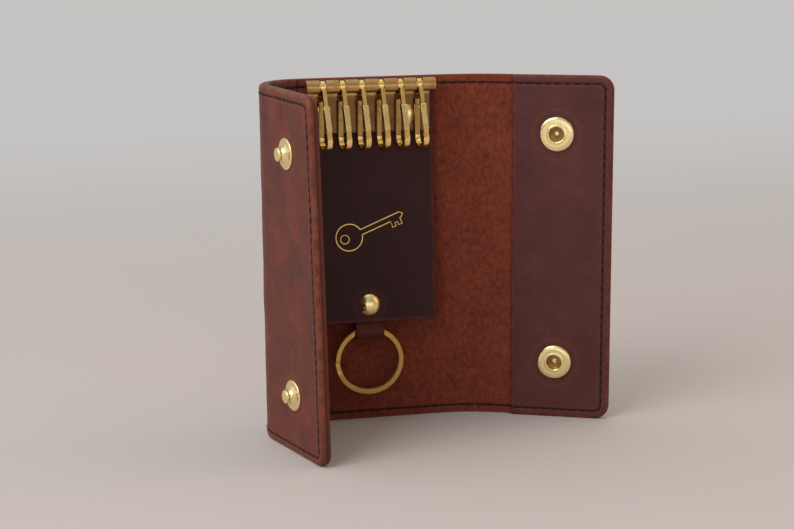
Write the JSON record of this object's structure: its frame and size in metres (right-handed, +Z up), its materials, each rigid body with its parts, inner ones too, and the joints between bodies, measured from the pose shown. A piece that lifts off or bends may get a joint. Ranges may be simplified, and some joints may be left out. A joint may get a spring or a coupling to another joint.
{
  "type": "key case",
  "caption": "Leather key case that folds in three over a rack of brass key hooks, with a lifting inner panel, a split ring on a loop and two snap fasteners.",
  "frame": {"origin": "on the table, under the middle of the key panel, in the middle of the centre cover's thickness", "axes": "+X right along the centre panel, +Y from the inside of the case out through its back, +Z up"},
  "size_m": [0.1198, 0.0541, 0.12],
  "materials": {
    "cover_leather": "aniline leather, smooth grain outside and napped flesh side inside",
    "lining_leather": "smooth waxed lining leather",
    "panel_leather": "dark smooth leather",
    "loop_leather": "thin smooth leather",
    "brass": "polished brass",
    "aged_brass": "duller, slightly tarnished brass",
    "thread": "waxed thread"
  },
  "bodies": {
    "centre": {"centre_cover": "cover_leather", "key_panel_top": "panel_leather", "hook_rack": "aged_brass", "rack_bar": "brass", "rack_rivet_left": "brass", "rack_rivet_right": "brass", "rack_rivet_washers": "brass", "centre_stitching": "thread"},
    "left_fold_inner": {"left_fold_inner_cover": "cover_leather", "left_fold_inner_lining": "lining_leather", "left_fold_inner_stitching": "thread"},
    "left_fold_outer": {"left_fold_outer_cover": "cover_leather", "left_fold_outer_lining": "lining_leather", "left_fold_outer_stitching": "thread"},
    "left_flap": {"left_flap_cover": "cover_leather", "left_flap_lining": "lining_leather", "snap_stud_upper": "brass", "snap_stud_lower": "brass", "stud_post_upper": "brass", "stud_post_lower": "brass", "left_flap_stitching": "thread"},
    "right_fold": {"right_fold_cover": "cover_leather", "right_fold_stitching": "thread"},
    "right_flap": {"right_flap_cover": "cover_leather", "right_flap_lining": "lining_leather", "snap_socket_upper": "brass", "snap_socket_lower": "brass", "socket_spring_upper": "aged_brass", "socket_spring_lower": "aged_brass", "snap_cap_upper": "brass", "snap_cap_lower": "brass", "right_flap_stitching": "thread"},
    "key_panel": {"key_panel_tongue": "panel_leather", "ring_loop": "loop_leather", "loop_rivet": "brass", "loop_rivet_washer": "brass"},
    "ring": {"split_ring": "aged_brass"},
    "hook_1": {"hook_1": "brass", "hook_sleeve_1": "brass"},
    "hook_spring_1": {"hook_spring_1": "aged_brass"},
    "hook_2": {"hook_2": "brass", "hook_sleeve_2": "brass"},
    "hook_spring_2": {"hook_spring_2": "aged_brass"},
    "hook_3": {"hook_3": "brass", "hook_sleeve_3": "brass"},
    "hook_spring_3": {"hook_spring_3": "aged_brass"},
    "hook_4": {"hook_4": "brass", "hook_sleeve_4": "brass"},
    "hook_spring_4": {"hook_spring_4": "aged_brass"},
    "hook_5": {"hook_5": "brass", "hook_sleeve_5": "brass"},
    "hook_spring_5": {"hook_spring_5": "aged_brass"},
    "hook_6": {"hook_6": "brass", "hook_sleeve_6": "brass"},
    "hook_spring_6": {"hook_spring_6": "aged_brass"}
  },
  "joints": [
    {"name": "left_crease_inner", "type": "hinge", "parent": "centre", "child": "left_fold_inner", "pos_m": [-0.0259, 0, 0], "axis": [0, 0, 1], "range_deg": [-26.25, 63.75]},
    {"name": "left_crease_middle", "type": "hinge", "parent": "left_fold_inner", "child": "left_fold_outer", "pos_m": [-0.03645, -0.0052, 0], "axis": [0, 0, 1], "range_deg": [-54.25, 21.44]},
    {"name": "left_crease_outer", "type": "hinge", "parent": "left_fold_outer", "child": "left_flap", "pos_m": [-0.03851, -0.01752, 0], "axis": [0, 0, -1], "range_deg": [-10, 13.69]},
    {"name": "right_crease_inner", "type": "hinge", "parent": "centre", "child": "right_fold", "pos_m": [0.0235, 0, 0], "axis": [0, 0, -1], "range_deg": [-12, 78]},
    {"name": "right_crease_outer", "type": "hinge", "parent": "right_fold", "child": "right_flap", "pos_m": [0.0435, -0.00425, 0], "axis": [0, 0, -1], "range_deg": [-12, 78]},
    {"name": "panel_lift", "type": "hinge", "parent": "centre", "child": "key_panel", "pos_m": [0, -0.0027, 0.096], "axis": [1, 0, 0], "range_deg": [-70, 0]},
    {"name": "ring_swing", "type": "hinge", "parent": "key_panel", "child": "ring", "pos_m": [-0.0027, -0.00408, 0.03244], "axis": [1, 0, 0], "range_deg": [-80, 4]},
    {"name": "hook_swing_1", "type": "hinge", "parent": "centre", "child": "hook_1", "pos_m": [-0.01777, -0.005, 0.1174], "axis": [1, 0, 0], "range_deg": [-120, 0]},
    {"name": "hook_swing_2", "type": "hinge", "parent": "centre", "child": "hook_2", "pos_m": [-0.01119, -0.005, 0.1174], "axis": [1, 0, 0], "range_deg": [-120, 0]},
    {"name": "hook_swing_3", "type": "hinge", "parent": "centre", "child": "hook_3", "pos_m": [-0.0046, -0.005, 0.1174], "axis": [1, 0, 0], "range_deg": [-120, 0]},
    {"name": "hook_swing_4", "type": "hinge", "parent": "centre", "child": "hook_4", "pos_m": [0.00199, -0.005, 0.1174], "axis": [1, 0, 0], "range_deg": [-120, 0]},
    {"name": "hook_swing_5", "type": "hinge", "parent": "centre", "child": "hook_5", "pos_m": [0.00859, -0.005, 0.1174], "axis": [1, 0, 0], "range_deg": [-120, 0]},
    {"name": "hook_swing_6", "type": "hinge", "parent": "centre", "child": "hook_6", "pos_m": [0.01517, -0.005, 0.1174], "axis": [1, 0, 0], "range_deg": [-120, 0]},
    {"name": "hook_spring_press_1", "type": "hinge", "parent": "hook_1", "child": "hook_spring_1", "pos_m": [-0.01835, -0.0047, 0.10065], "axis": [0.9613, 0.2756, 0], "range_deg": [0, 8], "stiffness_Nm_per_rad": 0.1, "springref_deg": -1.72},
    {"name": "hook_spring_press_2", "type": "hinge", "parent": "hook_2", "child": "hook_spring_2", "pos_m": [-0.01176, -0.0047, 0.10065], "axis": [0.9613, 0.2756, 0], "range_deg": [0, 8], "stiffness_Nm_per_rad": 0.1, "springref_deg": -1.72},
    {"name": "hook_spring_press_3", "type": "hinge", "parent": "hook_3", "child": "hook_spring_3", "pos_m": [-0.00517, -0.0047, 0.10065], "axis": [0.9613, 0.2756, 0], "range_deg": [0, 8], "stiffness_Nm_per_rad": 0.1, "springref_deg": -1.72},
    {"name": "hook_spring_press_4", "type": "hinge", "parent": "hook_4", "child": "hook_spring_4", "pos_m": [0.00142, -0.0047, 0.10065], "axis": [0.9613, 0.2756, 0], "range_deg": [0, 8], "stiffness_Nm_per_rad": 0.1, "springref_deg": -1.72},
    {"name": "hook_spring_press_5", "type": "hinge", "parent": "hook_5", "child": "hook_spring_5", "pos_m": [0.00801, -0.0047, 0.10065], "axis": [0.9613, 0.2756, 0], "range_deg": [0, 8], "stiffness_Nm_per_rad": 0.1, "springref_deg": -1.72},
    {"name": "hook_spring_press_6", "type": "hinge", "parent": "hook_6", "child": "hook_spring_6", "pos_m": [0.0146, -0.0047, 0.10065], "axis": [0.9613, 0.2756, 0], "range_deg": [0, 8], "stiffness_Nm_per_rad": 0.1, "springref_deg": -1.72}
  ]
}
